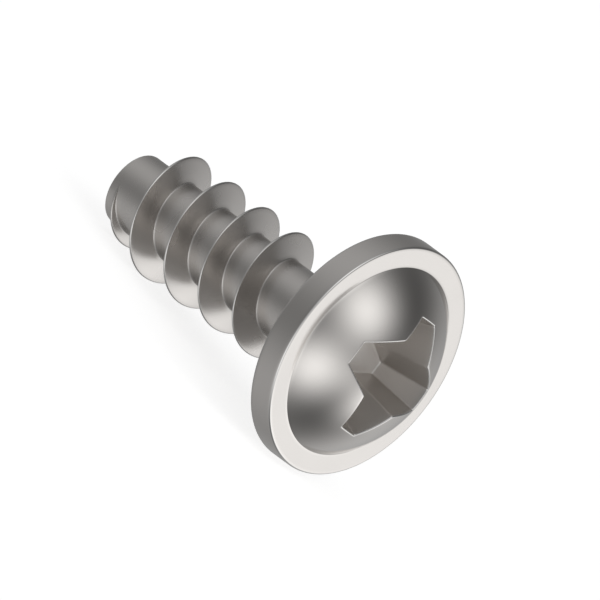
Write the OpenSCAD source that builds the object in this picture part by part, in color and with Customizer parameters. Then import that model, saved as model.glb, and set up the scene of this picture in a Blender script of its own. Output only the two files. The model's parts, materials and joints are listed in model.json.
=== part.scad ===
// Self-tapping screw in one piece: a washer flange with a domed crown and a cross recess,
// a round shank, one coarse ridge of right-hand thread and a blunt end.
// The screw is drawn upright, seat face at z = 0 and head on top, and is then laid down:
// it rests on the rim of its flange and on its thread, on the plane z = 0, head towards +X.

/* [Head] */
// Diameter of the washer flange
flange_d = 8; // [7:0.1:10]
// Thickness of the washer flange
flange_t = 0.94; // [0.8:0.01:1.4]
// Edge radius on the driving side of the flange
flange_front_r = 0.07; // [0.02:0.01:0.12]
// Edge radius on the seat side of the flange
flange_seat_r = 0.12; // [0.02:0.01:0.2]
// Diameter of the crown where it meets the flange
crown_d = 6.56; // [6:0.02:6.9]
// Height of the crown above the flange
crown_h = 1.56; // [1.3:0.02:1.7]

/* [Cross recess] */
// Depth of the flat floor below the face of the flange
recess_floor_depth = 0.7; // [0.5:0.02:0.76]
// Reach of each wing from the axis, at the floor
wing_reach = 1.54; // [1.4:0.02:1.6]
// Width of each wing at its outer end, at the floor
wing_tip_w = 0.46; // [0.3:0.02:0.56]
// Angle in plan between a side wall and the middle of its wing
wing_splay = 20.6; // [16:0.1:24]
// Draft of the side walls
side_draft = 11.7; // [8:0.1:14]
// Draft of the outer end walls
end_draft = 17.9; // [12:0.1:20]
// Extra splay of the one side wall that blunts its tooth, 0 for a regular cross
odd_splay = 8.1; // [0:0.1:10]

/* [Shank] */
// Length from the seat face to the blunt end
shank_l = 10; // [8:0.1:14]
// Diameter of the shank between the turns of the thread
core_d = 2.4; // [2.2:0.02:2.6]
// Radius of the fillet under the head
neck_r = 0.15; // [0.08:0.01:0.3]
// Edge radius round the blunt end
tip_r = 0.05; // [0.03:0.01:0.25]

/* [Thread] */
// Outer diameter of the thread
thread_d = 4; // [3.6:0.02:4.4]
// Advance of the thread in one turn
pitch = 1.6; // [1.4:0.02:1.8]
// Angle between the two flanks
flank_angle = 30; // [24:1:40]
// Width of the flat on top of the ridge
crest_w = 0.06; // [0.04:0.01:0.12]
// Radius at the foot of the flanks
root_r = 0.06; // [0.04:0.01:0.12]
// Turn of the start of the thread round the axis, from the middle of a wing
start_angle = 182; // [0:1:359]
// Distance from the blunt end to the middle of the ridge at its start
start_gap = 0.28; // [0.1:0.01:0.5]
// Turn over which the ridge rises to its full height
run_in = 187; // [120:1:240]
// Turn over which the ridge sinks back into the shank under the head
run_out = 150; // [90:1:200]
// Plain length of shank between the end of the thread and the seat face
plain_neck = 2.14; // [1.7:0.02:3]

/* [Resting place] */
// Turn of the side that faces the ground, from the middle of a wing
down_angle = -86; // [-180:1:180]

/* [Hidden] */

fine = 96;
small = 24;
flange_r = flange_d / 2;
crown_base_r = crown_d / 2;
core_r = core_d / 2;
thread_r = thread_d / 2;

// The crown is part of a sphere through its base circle and its apex
crown_sphere_r = (crown_base_r * crown_base_r + crown_h * crown_h) / (2 * crown_h);
crown_centre_z = flange_t + crown_h - crown_sphere_r;
apex_z = flange_t + crown_h;

// Amount by which joined solids reach into each other, and a cut runs past a surface
lap = 0.2;
clear = 0.3;

// Walls of the recess: in plan each side wall is the line
// wall_x * x + wall_y * y = wall_offset(z), with x along the wing
floor_z = flange_t - recess_floor_depth;
cut_top_z = apex_z + clear;
wall_x = sin(wing_splay);
wall_y = cos(wing_splay);

function wing_end(z) = wing_reach + (z - floor_z) * tan(end_draft);
function wall_offset(z) =
    wall_x * wing_reach + wall_y * wing_tip_w / 2 + (z - floor_z) * tan(side_draft);
function wing_half_w(z) = (wall_offset(z) - wall_x * wing_end(z)) / wall_y;

// Corner of the tooth after a wing: its side wall meets the near side wall of the next
// wing, which passes through that wing's end corner with a splay of its own
function tooth_corner(z, next_splay) =
    let (
        next_x = sin(next_splay),
        next_y = cos(next_splay),
        next_offset = next_x * wing_end(z) + next_y * wing_half_w(z),
        det = wall_x * next_x - wall_y * next_y
    )
    [
        (wall_offset(z) * next_x - wall_y * next_offset) / det,
        (wall_x * next_offset - next_y * wall_offset(z)) / det,
    ];

// Two corners at the end of a wing and the corner of the tooth after it, at height z
wings = 4;
outline_n = 3 * wings;
odd_wing = 2;
function wing_outline(k, z) = [
    [wing_end(z), -wing_half_w(z)],
    [wing_end(z), wing_half_w(z)],
    tooth_corner(z, wing_splay + (k + 1 == odd_wing ? odd_splay : 0)),
];
function turned(p, a) = [p.x * cos(a) - p.y * sin(a), p.x * sin(a) + p.y * cos(a)];
function cross_ring(z) = [
    for (k = [0:wings - 1], p = wing_outline(k, z))
        concat(turned(p, k * 360 / wings), z)
];

// The thread is one ridge wound round the shank. Its angle is counted from its start,
// and at both ends its top sinks just under the surface of the shank.
full_h = thread_r - core_r;
sunk_h = -0.03;
thread_turn = 360 * (shank_l - start_gap - plain_neck) / pitch;
steps = round(thread_turn / 6);
step = thread_turn / steps;

function ridge_h(a) =
    sunk_h + (full_h - sunk_h) * min(1, a / run_in, (thread_turn - a) / run_out);
function ridge_z(a) = start_gap - shank_l + pitch * a / 360;

// Half of the ridge's section, from its top down one flank and round the root fillet
// into the shank, as points of radius and distance from the middle plane
least_h = 0.012;
foot_sink = 0.02;
foot_turn = 90 - flank_angle / 2;
function half_section(h) =
    let (
        rise = max(h, least_h),
        base = core_r + h - rise,
        fillet = min(root_r, rise / 2),
        foot_h = fillet * (1 - cos(foot_turn)),
        foot = crest_w / 2 + (rise - foot_h) * tan(flank_angle / 2),
        end = foot + fillet * sin(foot_turn)
    )
    [
        [base + rise, crest_w / 2],
        for (t = [foot_turn, foot_turn * 0.6, foot_turn * 0.25])
            [base + fillet * (1 - cos(t)), end - fillet * sin(t)],
        [base - foot_sink, end],
        [base - lap, end],
    ];
section_n = 2 * len(half_section(full_h));
function section(h) =
    let (half = half_section(h), n = len(half))
    concat(half, [for (i = [n - 1:-1:0]) [half[i].x, -half[i].y]]);
function ridge_ring(a) =
    let (turn = start_angle + a)
    [
        for (p = section(ridge_h(a)))
            [p.x * cos(turn), p.x * sin(turn), ridge_z(a) + p.y]
    ];

// The lying screw tilts until its thread meets the ground. The tilt at which a point of
// the ridge would do so comes from its radius, its height and its turn from straight down.
rim_r = flange_r - flange_seat_r;
function touch_tilt(a) =
    let (
        down = (core_r + ridge_h(a)) * cos(start_angle + a - down_angle),
        across = rim_r - down,
        along = flange_seat_r - ridge_z(a) + crest_w / 2
    )
    atan2(across, along) + asin(flange_seat_r / norm([across, along]));
rest_tilt = min([for (i = [0:steps]) touch_tilt(i * step)]);
rest_lift = rim_r * cos(rest_tilt) - flange_seat_r * sin(rest_tilt) + flange_seat_r;

// Ends of the lying screw along X: the edge of the blunt end, and the crown's sphere as it
// is before the recess cuts it, which is within a tenth of the crown's own foremost point
low_x = -(core_r - tip_r) * sin(rest_tilt) - (shank_l - tip_r) * cos(rest_tilt) - tip_r;
high_x = crown_centre_z * cos(rest_tilt) + crown_sphere_r;

// Flat section of the head, to be spun round the axis
module head_section() {
    translate([0, flange_seat_r])
        square([flange_r, flange_t - flange_seat_r - flange_front_r]);
    square([rim_r, flange_t / 2]);
    translate([0, flange_t / 2])
        square([flange_r - flange_front_r, flange_t / 2]);
    translate([rim_r, flange_seat_r])
        circle(flange_seat_r, $fn = small);
    translate([flange_r - flange_front_r, flange_t - flange_front_r])
        circle(flange_front_r, $fn = small);
    intersection() {
        translate([0, crown_centre_z])
            circle(crown_sphere_r, $fn = fine);
        translate([0, flange_t - lap])
            square([crown_base_r, crown_h + lap]);
    }
}

// Flat section of the shank: rounded blunt end, straight side, fillet under the head
module shank_section() {
    translate([0, tip_r - shank_l])
        square([core_r, shank_l - tip_r + lap]);
    translate([0, -shank_l])
        square([core_r - tip_r, tip_r]);
    translate([core_r - tip_r, tip_r - shank_l])
        circle(tip_r, $fn = small);
    difference() {
        translate([0, -neck_r])
            square([core_r + neck_r, neck_r + lap]);
        translate([core_r + neck_r, -neck_r])
            circle(neck_r, $fn = small);
    }
}

// Solid that cuts the cross recess: flat floor, drafted side and end walls
module cross_recess() {
    ring_points = concat(cross_ring(floor_z), cross_ring(cut_top_z));
    sides = [
        for (i = [0:outline_n - 1])
            let (j = (i + 1) % outline_n)
            [i, i + outline_n, j + outline_n, j]
    ];
    floor_face = [for (i = [0:outline_n - 1]) i];
    top_face = [for (i = [outline_n - 1:-1:0]) outline_n + i];
    polyhedron(ring_points, concat([floor_face, top_face], sides));
}

// The wound ridge of the thread, closed at both ends inside the shank
module thread_ridge() {
    points = [for (i = [0:steps]) each ridge_ring(i * step)];
    sides = [
        for (i = [0:steps - 1], j = [0:section_n - 1])
            let (
                k = (j + 1) % section_n,
                here = i * section_n,
                next = here + section_n
            )
            each [
                [here + j, next + k, next + j],
                [here + j, here + k, next + k],
            ]
    ];
    last = steps * section_n;
    start_face = [for (j = [section_n - 1:-1:0]) j];
    end_face = [for (j = [0:section_n - 1]) last + j];
    polyhedron(points, concat([start_face, end_face], sides));
}

// The whole screw, upright
module upright_screw() {
    difference() {
        union() {
            rotate_extrude($fn = fine)
                head_section();
            rotate_extrude($fn = fine)
                shank_section();
            thread_ridge();
        }
        cross_recess();
    }
}

// The screw as it lies: turned round its own axis, laid over and set on the ground
module screw() {
    color("silver")
        translate([-(low_x + high_x) / 2, 0, rest_lift])
            rotate([0, 90 - rest_tilt, 0])
                rotate([0, 0, -down_angle])
                    upright_screw();
}

screw();
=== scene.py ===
import json
import math

import bpy
import numpy as np
from bpy.props import FloatProperty, FloatVectorProperty, IntProperty, PointerProperty
from bpy.types import Operator, Panel, PropertyGroup
from mathutils import Matrix, Vector


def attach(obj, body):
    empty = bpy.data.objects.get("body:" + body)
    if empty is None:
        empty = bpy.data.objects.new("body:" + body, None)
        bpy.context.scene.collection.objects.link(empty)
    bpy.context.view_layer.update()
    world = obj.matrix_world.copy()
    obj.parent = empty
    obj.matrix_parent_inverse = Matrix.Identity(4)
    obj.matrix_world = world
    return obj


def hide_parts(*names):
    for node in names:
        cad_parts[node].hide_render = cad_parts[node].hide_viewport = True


bl_info = {
    "name": "Flanged Tapping Screw",
    "version": (1, 0, 0),
    "blender": (4, 5, 0),
    "location": "View3D > Sidebar > Screw",
    "description": "Builds a lying thread-forming screw with a washer flange, and its studio",
    "category": "Add Mesh",
}

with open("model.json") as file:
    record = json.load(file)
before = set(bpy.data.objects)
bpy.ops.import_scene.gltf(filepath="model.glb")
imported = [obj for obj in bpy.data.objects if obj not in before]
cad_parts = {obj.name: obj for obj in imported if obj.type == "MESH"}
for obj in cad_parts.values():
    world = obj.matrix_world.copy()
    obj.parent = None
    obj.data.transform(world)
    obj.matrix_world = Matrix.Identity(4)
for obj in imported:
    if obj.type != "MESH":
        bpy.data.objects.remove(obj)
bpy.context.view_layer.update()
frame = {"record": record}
CAD_NODE = "screw"
BODY = "root"
MM = 0.001
TURN = 2 * math.pi
MOUNTS = {mount["name"]: mount for mount in frame["record"]["mounts"]}

# Wings of the recess, and the wing that the blunter tooth follows
WINGS = 4
ODD_WING = 1

# Rows of points along the head's section, from the middle of the recess outwards
FLOOR_ROWS, FLOOR_EDGE_ROWS, WALL_ROWS, LIP_ROWS, CROWN_ROWS = 8, 5, 8, 7, 28

# Rows of points along one side of the thread's section, and over the blunt end
VALLEY_ROWS, ROOT_ROWS, FLANK_ROWS, CREST_ROWS = 3, 6, 6, 5
TIP_ROWS, TIP_FACE_ROWS = 6, 8

# Rounds of going back and forth between wall and crown, after which the lip stands still
LIP_ROUNDS = 12

# Points on the same step of this size, in metres, are welded
WELD = 1e-8

# Sockets of the Mix node where it mixes colours
MIX_A, MIX_B, MIX_RESULT = 6, 7, 2

# Range that the value of a noise mostly keeps to
NOISE_LOW, NOISE_HIGH = 0.3, 0.7

# Nearest and farthest distance that the camera sees, in metres
CLIP_START, CLIP_END = 0.001, 2.0


def length(value_mm, name, description):
    """A length property: its default is given in millimetres and kept in metres."""
    return FloatProperty(
        name=name, description=description, default=value_mm * MM, min=0.0,
        subtype="DISTANCE", unit="LENGTH", precision=6,
    )


def angle(value_deg, name, description):
    """An angle property: its default is given in degrees and kept in radians."""
    return FloatProperty(
        name=name, description=description, default=math.radians(value_deg),
        subtype="ANGLE", unit="ROTATION",
    )


def share(value, name, description):
    """A number from 0 to 1."""
    return FloatProperty(name=name, description=description, default=value, min=0.0, max=1.0)


class HeadSizes(PropertyGroup):
    """Sizes of the flange, the crown and the cross recess."""

    flange_d: length(8.0, "Flange diameter", "Diameter of the washer flange")
    flange_t: length(0.94, "Flange thickness", "From the seat face to the driving side")
    front_r: length(0.07, "Front edge radius", "Edge radius on the driving side of the flange")
    seat_r: length(0.12, "Seat edge radius", "Edge radius on the seat side of the flange")
    crown_d: length(6.56, "Crown diameter", "Diameter of the crown where it meets the flange")
    crown_h: length(1.56, "Crown height", "Height of the crown above the flange")
    crown_foot: length(0.02, "Crown foot", "Reach of the hollow where crown and flange meet")
    floor_depth: length(0.7, "Recess depth", "Depth of the recess floor below the flange's face")
    wing_reach: length(1.54, "Wing reach", "Reach of each wing from the axis, at the floor")
    wing_tip_w: length(0.46, "Wing tip width", "Width of each wing at its end, at the floor")
    wing_splay: angle(20.6, "Wing splay", "Angle in plan between a side wall and its wing")
    side_draft: angle(11.7, "Side draft", "Draft of the side walls")
    end_draft: angle(17.9, "End draft", "Draft of the outer end walls")
    odd_splay: angle(8.1, "Odd splay", "Extra splay of the wall that blunts one tooth")
    corner_cut: length(0.06, "Corner rounding", "How far the upright corners are cut back")
    lip_cut: length(0.06, "Lip rounding", "How far the lip of the recess is cut back")
    floor_cut: length(0.05, "Floor rounding", "How far the edge of the floor is rounded")


class ThreadSizes(PropertyGroup):
    """Sizes of the shank and of its wound ridge."""

    shank_l: length(10.0, "Length", "From the seat face to the blunt end")
    core_d: length(2.4, "Core diameter", "Diameter of the shank between the turns")
    neck_r: length(0.15, "Neck radius", "Fillet under the head")
    tip_r: length(0.05, "Tip radius", "Edge radius round the blunt end")
    thread_d: length(4.0, "Thread diameter", "Outer diameter of the thread")
    pitch: length(1.6, "Pitch", "Advance of the thread in one turn")
    flank_angle: angle(30.0, "Flank angle", "Angle between the two flanks")
    crest_w: length(0.06, "Crest width", "Width of the flat on top of the ridge")
    crest_cut: length(0.05, "Crest rounding", "How far down the flanks the crest is rounded")
    crest_flat: length(0.004, "Crest flat", "Width left flat on top of the rounded crest")
    root_r: length(0.06, "Root radius", "Fillet at the foot of the flanks")
    start_angle: angle(182.0, "Start angle", "Turn of the thread's start, from a wing")
    start_gap: length(0.28, "Start gap", "From the blunt end to the ridge at its start")
    run_in: angle(187.0, "Run-in", "Turn over which the ridge rises")
    run_out: angle(150.0, "Run-out", "Turn over which the ridge sinks")
    plain_neck: length(2.14, "Plain neck", "From the end of the thread to the seat face")
    sunk_h: length(0.03, "Sunk ends", "Depth of the ridge's top in the shank at its ends")
    down_angle: angle(-86.0, "Down angle", "Turn of the side that faces the ground")


class MeshSteps(PropertyGroup):
    """How finely the surfaces are divided round the recess."""

    per_side: IntProperty(
        name="Side wall steps", description="Points along a side wall", default=17, min=1)
    per_end: IntProperty(
        name="End wall steps", description="Points along an end wall", default=8, min=1)
    per_corner: IntProperty(
        name="Corner steps", description="Points round a corner", default=6, min=2)


class SteelFinish(PropertyGroup):
    """Colour and gloss of the steel."""

    colour: FloatVectorProperty(
        name="Colour", description="Rolled skin", subtype="COLOR", default=(0.705, 0.68, 0.655))
    # Brighter colour on the rounded edges: partly rubbed wear, partly a painted highlight along
    # every edge
    edge_wear_and_highlight_colour: FloatVectorProperty(
        name="Edge colour", description="Edges rubbed bright", subtype="COLOR",
        default=(0.80, 0.79, 0.775))
    head_roughness: share(0.11, "Head roughness", "Roughness of the smooth upset head")
    rolled_roughness: share(0.27, "Rolled roughness", "Roughness of the shank and its thread")
    edge_roughness: share(0.12, "Edge roughness", "Roughness of the rubbed edges")
    recess_roughness: share(0.35, "Recess roughness", "Roughness where the punch pressed")
    cloudiness: share(0.08, "Cloudiness", "How far the clouds change the roughness")
    tint: share(0.02, "Tint", "How far the clouds change the colour")
    grain: share(0.04, "Grain", "Strength of the fine grain")
    grain_depth: length(0.01, "Grain depth", "Height of the fine grain")
    clouds_per_metre: FloatProperty(
        name="Cloud scale", description="Clouds to a metre", default=420.0, min=0.0)
    grains_per_metre: FloatProperty(
        name="Grain scale", description="Grains to a metre", default=9000.0, min=0.0)


class StudioSettings(PropertyGroup):
    """Floor, light and camera."""

    floor_colour: FloatVectorProperty(
        name="Floor colour", description="Pale floor", subtype="COLOR", default=(0.7, 0.7, 0.7))
    floor_lift: share(0.76, "Floor lift", "Light added to the floor where the camera sees it")
    floor_size: length(600.0, "Floor size", "Side of the floor")
    room_light: FloatProperty(
        name="Room light", description="Even light of the room", default=0.02, min=0.0)
    sight_angle: angle(54.58, "Sight angle", "Between the screw's axis and the line of sight")
    axis_slope: angle(36.39, "Axis slope", "How far the axis runs down to the right in the view")
    head_right: length(2.077, "Head right", "From the middle of the view to the flange's middle")
    head_down: length(1.881, "Head down", "From the middle of the view to the flange's middle")
    view_width: length(18.433, "View width", "Width of the camera's view")
    distance: length(200.0, "Camera distance", "From the camera to the middle of the view")


def arc(centre, radius, start, end, count):
    """Arc in the section plane: the centre plus the radius times the cosine and sine of
    evenly spaced angles in degrees. Rows: distance from the axis, height."""
    turn = np.radians(np.linspace(start, end, count))
    return np.array([centre[0] + radius * np.cos(turn), centre[1] + radius * np.sin(turn)])


def stretch(start, end, count):
    """Straight stretch in the section plane, evenly divided, without its two ends."""
    t = np.linspace(0, 1, count + 2)[1:-1]
    start, end = np.array(start)[:, None], np.array(end)[:, None]
    return start + (end - start) * t


def bend(a, b, c, count):
    """Quadratic curve from a to c that leaves and arrives along the lines to b:
    (1-t)^2 a + 2t(1-t) b + t^2 c. The points may be arrays; t runs along a new first axis."""
    a, b, c = np.asarray(a), np.asarray(b), np.asarray(c)
    t = np.linspace(0, 1, count).reshape((-1,) + (1,) * a.ndim)
    return (1 - t) ** 2 * a + 2 * t * (1 - t) * b + t ** 2 * c


def hump(count):
    """Mask of a rounded edge: half a sine wave, 0 at its two ends and 1 between them."""
    return np.sin(np.linspace(0, math.pi, count))


def spin(section, turn):
    """Surface of revolution: every point of the section at every angle of the array."""
    radius, height = section[0][:, None], section[1][:, None] + 0 * turn
    return np.stack([radius * np.cos(turn), radius * np.sin(turn), height], -1)


def cross_corners(head, z, grow=0.0):
    """Corners of the recess in plan at height z, with every wall moved outwards by grow.
    A side wall is the line sin(s) x + cos(s) y = offset, an end wall is x = reach, and a tooth
    corner is where a side wall meets the near side wall of the next wing."""
    rise = z - (head.flange_t - head.floor_depth)
    sin_s, cos_s = math.sin(head.wing_splay), math.cos(head.wing_splay)
    floor_offset = sin_s * head.wing_reach + cos_s * head.wing_tip_w / 2
    reach = head.wing_reach + rise * math.tan(head.end_draft) + grow
    offset = floor_offset + rise * math.tan(head.side_draft) + grow
    half_w = (offset - sin_s * reach) / cos_s
    corners = []
    for wing in range(WINGS):
        next_splay = head.wing_splay + (head.odd_splay if wing == ODD_WING else 0)
        next_x, next_y = math.sin(next_splay), math.cos(next_splay)
        next_offset = next_x * reach + next_y * half_w
        det = sin_s * next_x - cos_s * next_y
        tooth_x = (offset * next_x - cos_s * next_offset) / det
        tooth_y = (sin_s * next_offset - next_y * offset) / det
        cos_w, sin_w = math.cos(wing * TURN / WINGS), math.sin(wing * TURN / WINGS)
        for x, y in ((reach, -half_w), (reach, half_w), (tooth_x, tooth_y)):
            corners.append((x * cos_w - y * sin_w, x * sin_w + y * cos_w))
    return np.array(corners)


def cross_outline(head, steps, z, grow=0.0):
    """Closed outline of the recess in plan: each corner is a bend between points a little
    way along its two sides, and the sides between the bends are evenly divided."""
    corners = cross_corners(head, z, grow)
    following = np.roll(corners, -1, 0)
    side = following - corners
    side /= np.linalg.norm(side, axis=1, keepdims=True)
    leave = corners + side * head.corner_cut
    enter = corners - np.roll(side, 1, 0) * head.corner_cut
    points = []
    for i in range(len(corners)):
        points.append(bend(enter[i], corners[i], leave[i], steps.per_corner))
        count = steps.per_end if i % 3 == 0 else steps.per_side
        points.append(stretch(leave[i], enter[(i + 1) % len(corners)], count).T)
    return np.concatenate(points)


def even_angles(head, steps):
    """Evenly spaced angles of the columns, from the first corner of the first wing."""
    columns = WINGS * (3 * steps.per_corner + steps.per_end + 2 * steps.per_side)
    first = cross_corners(head, head.flange_t - head.floor_depth)[0]
    return math.atan2(first[1], first[0]) + np.arange(columns) * TURN / columns


def recess_rings(head, steps, crown_z):
    """Rings of the recess, from the middle of its floor up its walls and over its lip. The
    walls are straight, so a point of a wall is its floor point plus its slope times the
    height, and the lip is found by going back and forth between wall and crown."""
    floor_z = head.flange_t - head.floor_depth
    base = cross_outline(head, steps, floor_z)
    slope = (cross_outline(head, steps, head.flange_t) - base) / head.floor_depth
    spread = (cross_outline(head, steps, floor_z, head.lip_cut) - base) / head.lip_cut

    def wall(z, grow=0.0):
        return np.column_stack([base + slope * (z - floor_z)[:, None] + spread * grow, z])

    def on_crown(grow):
        z = np.full(len(base), head.flange_t + head.crown_h)
        for _ in range(LIP_ROUNDS):
            z = crown_z(np.linalg.norm(wall(z, grow)[:, :2], axis=1))
        return wall(z, grow)

    level = np.full(len(base), floor_z)
    lip = on_crown(0.0)
    lip_in, lip_out = wall(lip[:, 2] - head.lip_cut), on_crown(head.lip_cut)
    foot, floor_edge = wall(level + head.floor_cut), wall(level)
    middle = np.array([0, 0, floor_z])
    shrink = 1 - head.floor_cut / np.linalg.norm(base, axis=1, keepdims=True)
    floor_in = middle + (floor_edge - middle) * shrink
    over_floor = np.linspace(0, 1, FLOOR_ROWS + 1)[:-1, None, None]
    up_wall = np.linspace(0, 1, WALL_ROWS + 2)[1:-1, None, None]
    return np.concatenate([
        middle + (floor_in - middle) * over_floor,
        bend(floor_in, floor_edge, foot, FLOOR_EDGE_ROWS),
        foot + (lip_in - foot) * up_wall,
        bend(lip_in, lip, lip_out, LIP_ROWS),
    ])


def head_grid(head, thread, steps):
    """The head as one grid of rings, from the middle of the recess floor over the lip, down
    the crown, round the flange and in under it to the shank. The crown is the sphere through
    its base circle and its apex, and each column's angle turns smoothly from that of the
    recess outline to an even spacing at the flange. Returns the grid and its masks."""
    crown_r = head.crown_d / 2
    sphere_r = (crown_r ** 2 + head.crown_h ** 2) / (2 * head.crown_h)
    sphere_z = head.flange_t + head.crown_h - sphere_r

    def crown_z(radius):
        return sphere_z + np.sqrt(sphere_r ** 2 - radius ** 2)

    recess = recess_rings(head, steps, crown_z)
    even = even_angles(head, steps)
    lip = recess[-1]
    lip_turn = np.unwrap(np.arctan2(lip[:, 1], lip[:, 0]))
    lip_turn += TURN * np.round((even - lip_turn).mean() / TURN)
    lip_r = np.linalg.norm(lip[:, :2], axis=1)
    crown_end = crown_r - head.crown_foot * math.sqrt(1 - (crown_r / sphere_r) ** 2)
    t = np.linspace(0, 1, CROWN_ROWS + 2)[1:-1, None]
    radius = lip_r + (crown_end - lip_r) * t
    turn = lip_turn + (even - lip_turn) * t * t * (3 - 2 * t)
    crown = np.stack([radius * np.cos(turn), radius * np.sin(turn), crown_z(radius)], -1)

    flange_r, top, front_r, seat_r = head.flange_d / 2, head.flange_t, head.front_r, head.seat_r
    neck_r = thread.core_d / 2 + thread.neck_r
    foot_end = crown_r + head.crown_foot
    # From the crown's foot to the shank: points, and whether they round an edge
    parts = (
        (bend((crown_end, crown_z(crown_end)), (crown_r, top), (foot_end, top), 5).T, False),
        (stretch((foot_end, top), (flange_r - front_r, top), 8), False),
        (arc((flange_r - front_r, top - front_r), front_r, 90, 0, 7), True),
        (stretch((flange_r, top - front_r), (flange_r, seat_r), 8), False),
        (arc((flange_r - seat_r, seat_r), seat_r, 0, -90, 8), True),
        (stretch((flange_r - seat_r, 0), (neck_r, 0), 12), False),
        (arc((neck_r, -thread.neck_r), thread.neck_r, 90, 180, 7), False),
    )
    outer = spin(np.concatenate([part for part, _ in parts], 1), even)
    grid = np.concatenate([recess, crown, outer])
    inside = len(recess) - LIP_ROWS
    edge = np.concatenate(
        [np.zeros(inside), hump(LIP_ROWS), np.zeros(len(crown))]
        + [hump(part.shape[1]) * rounded for part, rounded in parts])
    pocket = np.zeros(len(grid))
    pocket[:len(recess) - 1] = 1
    rolled = np.zeros(len(grid))
    rolled[-1] = 1
    masks = {"edge": edge, "pocket": pocket, "rolled": rolled}
    return grid, {name: np.outer(mask, np.ones(len(even))) for name, mask in masks.items()}


def ridge_section(thread, height):
    """Section of the ridge for an array of heights: distance from the axis and distance from
    the ridge's middle plane, from the valley on the head's side, round the root fillet, up
    the flank, over the rounded crest and down the other flank. Rows run along the section
    and columns along the thread."""
    half = thread.flank_angle / 2
    core_r = thread.core_d / 2
    h = np.maximum(height, 0.0)
    # On a low ridge the fillet and the rounded crest shrink with its height
    fillet, cut = np.minimum(thread.root_r, h / 2), np.minimum(thread.crest_cut, h / 3)
    foot_turn = math.pi / 2 - half
    foot_h = fillet * (1 - math.cos(foot_turn))
    foot_y = thread.crest_w / 2 + (h - foot_h) * math.tan(half)
    end_y = foot_y + fillet * math.sin(foot_turn)
    across = np.linspace(1, 0, VALLEY_ROWS + 1)[:-1, None]
    valley_y = end_y + (thread.pitch / 2 - end_y) * across
    around = foot_turn * np.linspace(0, 1, ROOT_ROWS)[:, None]
    crest = np.stack([core_r + h, thread.crest_w / 2 + 0 * h])
    below = crest + cut * np.array([[-math.cos(half)], [math.sin(half)]])
    beside = np.stack([crest[0], thread.crest_flat / 2 + 0 * h])
    flank = np.stack([core_r + foot_h, foot_y])
    up_flank = np.linspace(0, 1, FLANK_ROWS + 2)[1:-1, None, None]
    rows = np.concatenate([
        np.stack([core_r + 0 * valley_y, valley_y], 1),
        np.stack([core_r + fillet * (1 - np.cos(around)), end_y - fillet * np.sin(around)], 1),
        flank + (below - flank) * up_flank,
        bend(below, crest, beside, CREST_ROWS),
    ])
    radius, offset = rows[:, 0], rows[:, 1]
    half_hump = hump(2 * CREST_ROWS - 1)[:CREST_ROWS]
    edge = np.concatenate([np.zeros(len(rows) - CREST_ROWS), half_hump])[:, None]
    edge = edge * h / (thread.thread_d / 2 - core_r)
    return tuple(
        np.concatenate([side, sign * side[::-1]])
        for side, sign in ((radius, 1), (offset, -1), (edge, 1)))


def thread_grid(head, thread, steps):
    """The shank as one strip wound round the axis. At angle a from the thread's start the
    middle plane is at start + pitch a / turn, the section spans half a pitch to each side,
    and so the strip's two long edges meet one turn apart. The ridge's height rises and sinks
    evenly with the angle at its ends. Past the two ends of the shank the strip is pressed
    flat onto the end circles, where the weld removes it. Returns the grid and its masks."""
    even = even_angles(head, steps)
    step = TURN / len(even)
    rise = thread.pitch / TURN
    low, high = thread.tip_r - thread.shank_l, -thread.neck_r
    start_z = thread.start_gap - thread.shank_l
    thread_turn = (thread.shank_l - thread.start_gap - thread.plain_neck) / rise
    shift = thread.start_angle - even[0]
    first = math.floor(((low - start_z) / rise - TURN + shift) / step)
    last = math.ceil(((high - start_z) / rise + TURN + shift) / step)
    index = np.arange(first, last)
    a = index * step - shift
    full_h = (thread.thread_d - thread.core_d) / 2
    part = np.minimum(np.minimum(1, a / thread.run_in), (thread_turn - a) / thread.run_out)
    radius, offset, edge = ridge_section(thread, (full_h + thread.sunk_h) * part - thread.sunk_h)
    z = np.clip(start_z + rise * a + offset, low, high)
    turn = even[np.mod(index, len(even))]
    grid = np.stack([radius * np.cos(turn), radius * np.sin(turn), z], -1)
    return grid, {"edge": edge, "pocket": 0 * edge, "rolled": 0 * edge + 1}


def tip_grid(head, thread, steps):
    """The blunt end: its rounded edge and its flat face, spun round the axis to a pole.
    Returns the grid and its masks."""
    inner_r, bottom = thread.core_d / 2 - thread.tip_r, -thread.shank_l
    rim = arc((inner_r, bottom + thread.tip_r), thread.tip_r, 0, -90, TIP_ROWS)
    inwards = np.linspace(inner_r, 0, TIP_FACE_ROWS + 1)[1:]
    face = np.stack([inwards, np.full(TIP_FACE_ROWS, bottom)])
    grid = spin(np.concatenate([rim, face], 1), even_angles(head, steps))
    edge = np.concatenate([hump(rim.shape[1]), np.zeros(face.shape[1])])
    edge = np.outer(edge, np.ones(grid.shape[1]))
    return grid, {"edge": edge, "pocket": 0 * edge, "rolled": 0 * edge + 1}


def grid_faces(shape, closed):
    """Four-cornered faces between neighbouring rows and columns, seen from outside where
    rows run down or outwards and columns run anticlockwise."""
    rows, columns = shape
    row, column = np.arange(rows - 1)[:, None], np.arange(columns if closed else columns - 1)
    beside = (column + 1) % columns
    here, under = row * columns, (row + 1) * columns
    return np.stack(
        [here + column, under + column, under + beside, here + beside], -1).reshape(-1, 4)


def weld(points, faces):
    """Joins points at the same place and drops repeated corners: a face that keeps three
    different corners becomes a triangle, and one that keeps fewer goes. Returns the places
    of the kept points, the four-cornered faces and the triangles."""
    keys = np.round(points / WELD).astype(np.int64)
    _, keep, same = np.unique(keys, axis=0, return_index=True, return_inverse=True)
    faces = same.reshape(-1)[faces]
    repeat = faces == np.roll(faces, -1, 1)
    quads = faces[~repeat.any(1)]
    quads = quads[(quads[:, 0] != quads[:, 2]) & (quads[:, 1] != quads[:, 3])]
    once = repeat.sum(1) == 1
    return keep, quads, faces[once][~repeat[once]].reshape(-1, 3)


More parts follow.
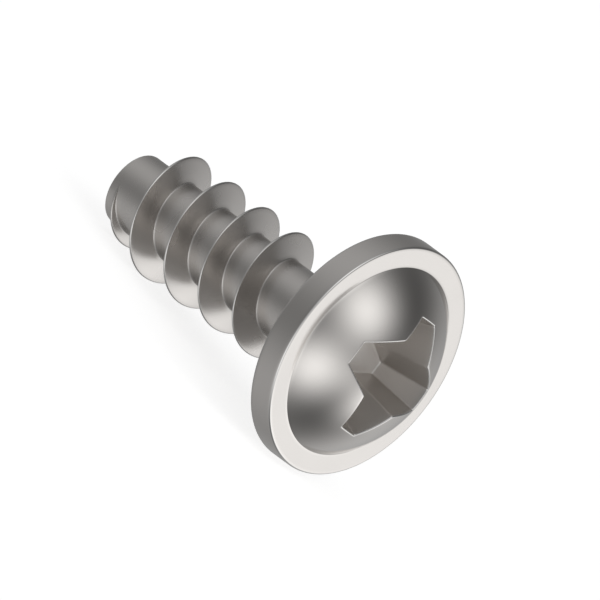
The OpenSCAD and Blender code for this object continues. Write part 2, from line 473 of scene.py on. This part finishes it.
def lay_down(points, head, thread):
    """Upright screw to lying screw: a turn about its own axis that brings the down side to
    the ground, then the turn and shift that bring the axis onto the line of the mounts."""
    recess = MOUNTS["drive_recess"]
    axis = Vector(recess["axis"]).normalized()
    seat = Vector(recess["pos_m"]) - axis * (head.flange_t - head.floor_depth)
    across = Vector((0, 1, 0))
    tilt = Matrix((across.cross(axis), across, axis)).transposed()
    place = tilt @ Matrix.Rotation(-thread.down_angle, 3, "Z")
    return points @ np.array(place).T + np.array(seat)


def build_mesh(name, points, quads, triangles, masks):
    """Mesh from arrays of corners, smooth all over, with one float attribute a mask."""
    mesh = bpy.data.meshes.new(name)
    loops = np.concatenate([quads.ravel(), triangles.ravel()]).astype(np.int32)
    sizes = np.concatenate([np.full(len(quads), 4), np.full(len(triangles), 3)])
    starts = (np.cumsum(sizes) - sizes).astype(np.int32)
    mesh.vertices.add(len(points))
    mesh.vertices.foreach_set("co", points.astype(np.float32).ravel())
    mesh.loops.add(len(loops))
    mesh.loops.foreach_set("vertex_index", loops)
    mesh.polygons.add(len(sizes))
    mesh.polygons.foreach_set("loop_start", starts)
    mesh.polygons.foreach_set("use_smooth", np.ones(len(sizes), bool))
    mesh.update(calc_edges=True)
    if mesh.validate():
        raise RuntimeError(f"mesh {name} had faces that Blender had to mend")
    for mask_name, values in masks.items():
        attribute = mesh.attributes.new(mask_name, "FLOAT", "POINT")
        attribute.data.foreach_set("value", values.astype(np.float32))
    return mesh


def add_object(name, data, scene):
    """Puts data into the scene as an object at the origin."""
    made = bpy.data.objects.new(name, data)
    scene.collection.objects.link(made)
    return made


def node(tree, kind, inputs=None, **settings):
    """Adds a node and sets its properties. An input is a value, or a socket to link."""
    made = tree.nodes.new(kind)
    for key, value in settings.items():
        setattr(made, key, value)
    for key, value in (inputs or {}).items():
        if isinstance(value, bpy.types.NodeSocket):
            tree.links.new(value, made.inputs[key])
        else:
            made.inputs[key].default_value = value
    return made


def fresh_tree(owner):
    """Empties a material's or a world's node tree and returns it."""
    owner.use_nodes = True
    owner.node_tree.nodes.clear()
    return owner.node_tree


def steel_material(finish):
    """Plain bright steel: a rolled skin with faint cloudiness and fine grain, edges smoother
    and brighter in colour, partly rubbed wear and partly a painted highlight, and a recess that
    the punch left a little duller. A mask of 0 to 1 leads from one value to the other, and the
    clouds carry a value up and down by a share."""
    material = bpy.data.materials.new("rolled_steel")
    tree = fresh_tree(material)
    place = node(tree, "ShaderNodeTexCoord").outputs["Object"]
    cloud = node(tree, "ShaderNodeTexNoise", {
        "Vector": place, "Scale": finish.clouds_per_metre,
        "Detail": 3.0, "Roughness": 0.55}).outputs["Fac"]
    grain = node(tree, "ShaderNodeTexNoise", {
        "Vector": place, "Scale": finish.grains_per_metre, "Detail": 2.0}).outputs["Fac"]

    def mask(name):
        return node(tree, "ShaderNodeAttribute", attribute_name=name).outputs["Fac"]

    def mix(factor, a, b):
        return node(tree, "ShaderNodeMix", {"Factor": factor, "A": a, "B": b}).outputs["Result"]

    def clouded(value, spread):
        return node(tree, "ShaderNodeMapRange", {
            "Value": cloud, "From Min": NOISE_LOW, "From Max": NOISE_HIGH,
            "To Min": value * (1 - spread), "To Max": value * (1 + spread)}).outputs["Result"]

    edge = mask("edge")
    skin = mix(mask("rolled"), clouded(finish.head_roughness, finish.cloudiness),
               clouded(finish.rolled_roughness, finish.cloudiness))
    rough = mix(edge, mix(mask("pocket"), skin, finish.recess_roughness), finish.edge_roughness)
    skin_colour = node(tree, "ShaderNodeVectorMath", {
        0: tuple(finish.colour), "Scale": clouded(1.0, finish.tint)}, operation="SCALE")
    # The rounded edges take a brighter colour, partly rubbed wear and partly a painted highlight
    colour = node(tree, "ShaderNodeMix", {
        "Factor": edge, MIX_A: skin_colour.outputs["Vector"],
        MIX_B: (*finish.edge_wear_and_highlight_colour, 1.0)}, data_type="RGBA")
    bump = node(tree, "ShaderNodeBump", {
        "Height": grain, "Strength": finish.grain, "Distance": finish.grain_depth})
    steel = node(tree, "ShaderNodeBsdfPrincipled", {
        "Base Color": colour.outputs[MIX_RESULT], "Metallic": 1.0,
        "Roughness": rough, "Normal": bump.outputs["Normal"]})
    node(tree, "ShaderNodeOutputMaterial", {"Surface": steel.outputs["BSDF"]})
    return material


def camera_axes(head, thread, studio):
    """Right, up and backwards of the camera in the frame. In the screw's own axes the line
    of sight lies in the plane of a wing, at the sight angle from the axis, and the picture
    is turned about it until the axis runs down to the right by its slope."""
    sight, slope = studio.sight_angle, studio.axis_slope
    along = np.array([math.cos(sight), 0, math.sin(sight)])
    across = np.array([0, 1, 0])
    own = np.array([
        math.cos(slope) * along + math.sin(slope) * across,
        math.cos(slope) * across - math.sin(slope) * along,
        [-math.sin(sight), 0, math.cos(sight)],
    ])
    return lay_down(own, head, thread) - lay_down(np.zeros(3), head, thread)


# Soft boxes round the screw: direction right, up and towards the camera, tightness, strength.
# Beside each one stands what mostly mirrors it in the camera's view.
SOFT_BOXES = (
    ((0.75, 0.09, 0.65), 10.0, 1.02),     # upper highlight of the crown
    ((0.34, 0.66, 0.67), 4.0, 0.28),      # upper middle of the shank, faintly the crown's top
    ((0.06, -0.65, 0.76), 10.5, 1.07),    # left highlight of the crown
    ((0.54, -0.71, 0.45), 20.0, 0.28),    # crown just left of the recess
    ((0.71, -0.62, -0.33), 19.0, 0.84),   # face of the flange, facing tooth of the recess
    ((0.60, -0.80, -0.03), 20.0, 0.95),   # lower flanks of the thread, walls of the recess
    ((0.29, -0.63, -0.72), 8.0, 0.31),    # lower edge of the crown
    ((0.64, -0.16, -0.75), 8.0, 0.16),    # upper tips of the flanks, right edge of the crown
    ((-0.05, -0.28, -0.96), 4.0, 0.21),   # lower side of the neck
    ((-0.85, -0.45, -0.30), 4.0, 0.26),   # left side of the flange, lower side of the shank
    ((-0.77, -0.40, 0.50), 5.0, 0.43),    # middle of the shank
    ((-0.20, 0.96, -0.20), 3.0, 0.37),    # upper side of the shank and of the flange
)


def soft_box(tree, look, box, tightness, strength):
    """Light of one soft box: its strength times e^(tightness (cosine - 1)), with the cosine
    of the angle between the direction looked in and the box. Returns the socket."""
    cosine = node(tree, "ShaderNodeVectorMath", {0: look, 1: box}, operation="DOT_PRODUCT")
    power = node(tree, "ShaderNodeMath", {
        0: cosine.outputs["Value"], 1: tightness, 2: -tightness}, operation="MULTIPLY_ADD")
    fall = node(tree, "ShaderNodeMath", {0: power.outputs[0]}, operation="EXPONENT")
    return node(tree, "ShaderNodeMath", {
        0: fall.outputs[0], 1: strength}, operation="MULTIPLY").outputs[0]


def studio_world(axes, studio):
    """World of the studio: the room's even light plus the soft boxes, all of them white."""
    world = bpy.data.worlds.new("studio")
    tree = fresh_tree(world)
    look = node(tree, "ShaderNodeTexCoord").outputs["Generated"]
    total = studio.room_light
    for direction, tightness, strength in SOFT_BOXES:
        box = Vector(np.array(direction) @ axes).normalized()
        light = soft_box(tree, look, box, tightness, strength)
        total = node(tree, "ShaderNodeMath", {0: total, 1: light}, operation="ADD").outputs[0]
    room = node(tree, "ShaderNodeBackground", {"Color": (1, 1, 1, 1), "Strength": total})
    node(tree, "ShaderNodeOutputWorld", {"Surface": room.outputs[0]})
    return world


def floor_material(studio):
    """Pale floor that takes the screw's shadow: a plain colour, lifted to white where the
    camera sees it."""
    material = bpy.data.materials.new("pale_floor")
    tree = fresh_tree(material)
    plain = node(tree, "ShaderNodeBsdfDiffuse", {"Color": (*studio.floor_colour, 1)}).outputs[0]
    seen = node(tree, "ShaderNodeLightPath").outputs["Is Camera Ray"]
    lift = node(tree, "ShaderNodeMath", {
        0: seen, 1: studio.floor_lift}, operation="MULTIPLY").outputs[0]
    glow = node(tree, "ShaderNodeEmission", {"Strength": lift}).outputs[0]
    both = node(tree, "ShaderNodeAddShader", {0: plain, 1: glow}).outputs[0]
    node(tree, "ShaderNodeOutputMaterial", {"Surface": both})
    return material


class SCREW_OT_add_body(Operator):
    """Adds the screw as one closed piece of steel"""

    bl_idname = "flange_screw.add_body"
    bl_label = "Add Screw"

    def execute(self, context):
        scene = context.scene
        head, thread, steps = scene.screw_head, scene.screw_thread, scene.screw_steps
        parts = (
            (head_grid(head, thread, steps), True),
            (thread_grid(head, thread, steps), False),
            (tip_grid(head, thread, steps), True),
        )
        points = np.concatenate([grid.reshape(-1, 3) for (grid, _), _ in parts])
        first = np.cumsum([0] + [grid[..., 0].size for (grid, _), _ in parts])
        faces = np.concatenate([
            grid_faces(grid.shape[:2], closed) + start
            for ((grid, _), closed), start in zip(parts, first)])
        keep, quads, triangles = weld(points, faces)
        masks = {
            key: np.concatenate([mask[key].ravel() for (_, mask), _ in parts])[keep]
            for key in parts[0][0][1]}
        places = lay_down(points[keep], head, thread)
        mesh = build_mesh("screw_body", places, quads, triangles, masks)
        mesh.materials.append(steel_material(scene.screw_finish))
        body = add_object("screw_body", mesh, scene)
        flats = body.modifiers.new("even shade on flats", "WEIGHTED_NORMAL")
        flats.mode = "FACE_AREA"
        flats.keep_sharp = False
        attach(body, BODY)
        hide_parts(CAD_NODE)
        return {"FINISHED"}


class SCREW_OT_add_stage(Operator):
    """Adds the pale floor, the studio light and the camera"""

    bl_idname = "flange_screw.add_stage"
    bl_label = "Add Stage"

    def execute(self, context):
        scene = context.scene
        head, thread, studio = scene.screw_head, scene.screw_thread, scene.screw_studio
        half = studio.floor_size / 2
        mesh = bpy.data.meshes.new("floor")
        corners = [(-half, -half, 0), (half, -half, 0), (half, half, 0), (-half, half, 0)]
        mesh.from_pydata(corners, [], [(0, 1, 2, 3)])
        mesh.materials.append(floor_material(studio))
        floor = add_object("floor", mesh, scene)
        # The photographed steel mirrors a dark room below it, not its white ground, so the
        # floor stays out of the mirrored light and only takes the screw's shadow
        floor.visible_glossy = False
        floor.visible_shadow = False

        axes = camera_axes(head, thread, studio)
        right, up, back = axes
        scene.world = studio_world(axes, studio)
        face = lay_down(np.array([0, 0, head.flange_t]), head, thread)
        target = face - right * studio.head_right + up * studio.head_down
        data = bpy.data.cameras.new("camera")
        data.type = "ORTHO"
        data.ortho_scale = studio.view_width
        data.clip_start, data.clip_end = CLIP_START, CLIP_END
        camera = add_object("camera", data, scene)
        place = Matrix(axes.T.tolist()).to_4x4()
        place.translation = target + back * studio.distance
        camera.matrix_world = place
        scene.camera = camera
        scene.view_settings.view_transform = "Standard"
        return {"FINISHED"}


OPERATORS = (SCREW_OT_add_body, SCREW_OT_add_stage)
GROUPS = {
    "screw_head": HeadSizes,
    "screw_thread": ThreadSizes,
    "screw_steps": MeshSteps,
    "screw_finish": SteelFinish,
    "screw_studio": StudioSettings,
}


class SCREW_PT_panel(Panel):
    """Lists the operators and the sizes"""

    bl_idname = "SCREW_PT_panel"
    bl_label = "Flanged Tapping Screw"
    bl_space_type = "VIEW_3D"
    bl_region_type = "UI"
    bl_category = "Screw"

    def draw(self, context):
        for operator in OPERATORS:
            self.layout.operator(operator.bl_idname)
        for name, group in GROUPS.items():
            box = self.layout.box()
            for key in group.__annotations__:
                box.prop(getattr(context.scene, name), key)


CLASSES = (*GROUPS.values(), *OPERATORS, SCREW_PT_panel)


def register():
    """Registers the classes and puts the groups of settings on the scene."""
    for cls in CLASSES:
        bpy.utils.register_class(cls)
    for name, group in GROUPS.items():
        setattr(bpy.types.Scene, name, PointerProperty(type=group))


def unregister():
    """Takes the settings and the classes away again."""
    for name in GROUPS:
        delattr(bpy.types.Scene, name)
    for cls in reversed(CLASSES):
        bpy.utils.unregister_class(cls)


def main():
    """Registers the add-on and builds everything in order."""
    register()
    bpy.ops.flange_screw.add_body()
    bpy.ops.flange_screw.add_stage()


if __name__ == "__main__":
    main()
